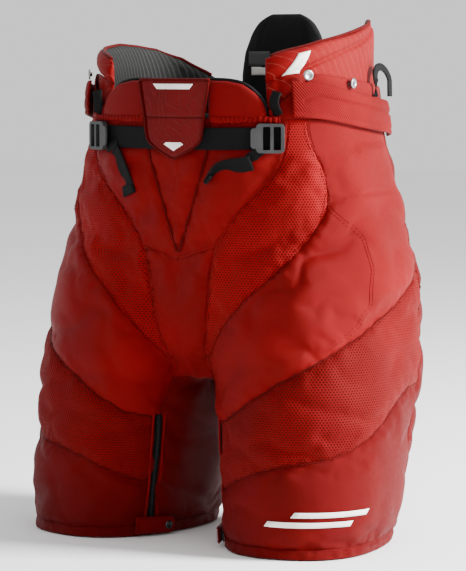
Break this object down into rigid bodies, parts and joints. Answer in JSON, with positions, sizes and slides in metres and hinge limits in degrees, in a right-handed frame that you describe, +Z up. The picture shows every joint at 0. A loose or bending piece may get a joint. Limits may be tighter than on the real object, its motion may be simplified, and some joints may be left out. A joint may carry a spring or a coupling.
{
  "type": "ice hockey pants",
  "caption": "Padded ice hockey pants with floating hip and spine pads, waist strap with ladder-lock buckles, stretch hip mesh and zipped inner legs.",
  "frame": {"origin": "middle of the bounding box's floor, on the plane that both leg hems stand on", "axes": "+Z up, wearer faces -Y, wearer's left side is +X"},
  "size_m": [0.4512, 0.3121, 0.6097],
  "materials": {
    "red_nylon": "woven nylon, satin",
    "red_cordura": "heavy textured nylon",
    "stretch_mesh": "perforated stretch knit",
    "ribbed_knit": "diagonal rib knit",
    "glossy_laminate": "glossy printed laminate",
    "black_webbing": "woven polyester webbing",
    "lining": "brushed knit lining over foam",
    "black_pad": "nylon over moulded foam",
    "guard_plastic": "moulded polyethylene",
    "buckle_plastic": "moulded acetal",
    "button_plastic": "moulded",
    "zipper_metal": "enamelled"
  },
  "bodies": {
    "pelvis": {"belly_padding": "lining", "belly_wing_left": "red_nylon", "belly_wing_right": "red_nylon", "belt_tunnels": "red_nylon", "crotch_gusset": "red_nylon", "crotch_padding": "lining", "fly_panel": "red_nylon", "front_gore_left": "red_nylon", "front_gore_right": "red_nylon", "hanger_loops": "black_webbing", "hip_mesh_left": "stretch_mesh", "hip_mesh_right": "stretch_mesh", "hip_padding_left": "lining", "hip_padding_right": "lining", "pad_tethers": "black_webbing", "seat_padding": "lining", "seat_panel": "red_cordura", "shield": "glossy_laminate", "side_panel_left": "red_nylon", "side_panel_right": "red_nylon", "suspender_buttons": "button_plastic", "waist_flap_left": "ribbed_knit", "waist_flap_right": "ribbed_knit", "waist_webbing": "black_webbing", "waistband": "lining"},
    "left_leg": {"thigh_panel_left": "red_nylon", "thigh_mesh_left": "stretch_mesh", "cuff_panel_left": "red_cordura", "rear_thigh_left": "red_cordura", "inner_thigh_left": "red_nylon", "hem_left": "red_cordura", "leg_padding_left": "lining", "thigh_guard_left": "guard_plastic", "zipper_tape_left": "black_webbing", "snap_stud_left": "button_plastic"},
    "left_zipper_slider": {"zipper_slider_left": "zipper_metal", "zipper_pull_left": "zipper_metal"},
    "left_snap_tab": {"snap_tab_left": "red_nylon", "snap_cap_left": "button_plastic"},
    "left_buckle": {"buckle_left": "buckle_plastic"},
    "left_belt_tail": {"belt_tail_left": "black_webbing"},
    "left_hip_pad": {"hip_pad_left": "red_nylon"},
    "right_leg": {"thigh_panel_right": "red_nylon", "thigh_mesh_right": "stretch_mesh", "cuff_panel_right": "red_cordura", "rear_thigh_right": "red_cordura", "inner_thigh_right": "red_nylon", "hem_right": "red_cordura", "leg_padding_right": "lining", "thigh_guard_right": "guard_plastic", "zipper_tape_right": "black_webbing", "snap_stud_right": "button_plastic"},
    "right_zipper_slider": {"zipper_slider_right": "zipper_metal", "zipper_pull_right": "zipper_metal"},
    "right_snap_tab": {"snap_tab_right": "red_nylon", "snap_cap_right": "button_plastic"},
    "right_buckle": {"buckle_right": "buckle_plastic"},
    "right_belt_tail": {"belt_tail_right": "black_webbing"},
    "right_hip_pad": {"hip_pad_right": "red_nylon"},
    "spine_pad": {"spine_pad": "black_pad"}
  },
  "joints": [
    {"name": "left_hip_flex", "type": "hinge", "parent": "pelvis", "child": "left_leg", "pos_m": [0, 0.004, 0.3], "axis": [-1, 0, 0], "range_deg": [-15, 30]},
    {"name": "left_zipper_slide", "type": "slide", "parent": "left_leg", "child": "left_zipper_slider", "axis": [-0.0847, 0.0257, 0.9961], "range_m": [0, 0.115]},
    {"name": "left_tab_hinge", "type": "hinge", "parent": "left_leg", "child": "left_snap_tab", "pos_m": [0.06009, -0.12468, 0.01525], "axis": [-0.0847, 0.0257, 0.9961], "range_deg": [0, 110]},
    {"name": "left_buckle_tilt", "type": "hinge", "parent": "pelvis", "child": "left_buckle", "pos_m": [0.13032, -0.10316, 0.467], "axis": [0, 0, 1], "range_deg": [0, 40]},
    {"name": "left_tail_swing", "type": "hinge", "parent": "left_buckle", "child": "left_belt_tail", "pos_m": [0.09948, -0.11594, 0.4484], "axis": [-0.9539, -0.3002, 0], "range_deg": [0, 80]},
    {"name": "left_hip_pad_tilt", "type": "hinge", "parent": "pelvis", "child": "left_hip_pad", "pos_m": [0.157, 0.004, 0.547], "axis": [0, 1, 0], "range_deg": [0, 25]},
    {"name": "right_hip_flex", "type": "hinge", "parent": "pelvis", "child": "right_leg", "pos_m": [0, 0.004, 0.3], "axis": [-1, 0, 0], "range_deg": [-15, 30]},
    {"name": "right_zipper_slide", "type": "slide", "parent": "right_leg", "child": "right_zipper_slider", "axis": [0.0847, 0.0257, 0.9961], "range_m": [0, 0.115]},
    {"name": "right_tab_hinge", "type": "hinge", "parent": "right_leg", "child": "right_snap_tab", "pos_m": [-0.06009, -0.12468, 0.01525], "axis": [-0.0847, -0.0257, -0.9961], "range_deg": [0, 110]},
    {"name": "right_buckle_tilt", "type": "hinge", "parent": "pelvis", "child": "right_buckle", "pos_m": [-0.13032, -0.10316, 0.467], "axis": [0, 0, -1], "range_deg": [0, 40]},
    {"name": "right_tail_swing", "type": "hinge", "parent": "right_buckle", "child": "right_belt_tail", "pos_m": [-0.09948, -0.11594, 0.4484], "axis": [-0.9539, 0.3002, 0], "range_deg": [0, 80]},
    {"name": "right_hip_pad_tilt", "type": "hinge", "parent": "pelvis", "child": "right_hip_pad", "pos_m": [-0.157, 0.004, 0.547], "axis": [0, -1, 0], "range_deg": [0, 25]},
    {"name": "spine_pad_tilt", "type": "hinge", "parent": "pelvis", "child": "spine_pad", "pos_m": [0, 0.125, 0.522], "axis": [-1, 0, 0], "range_deg": [0, 25]}
  ]
}
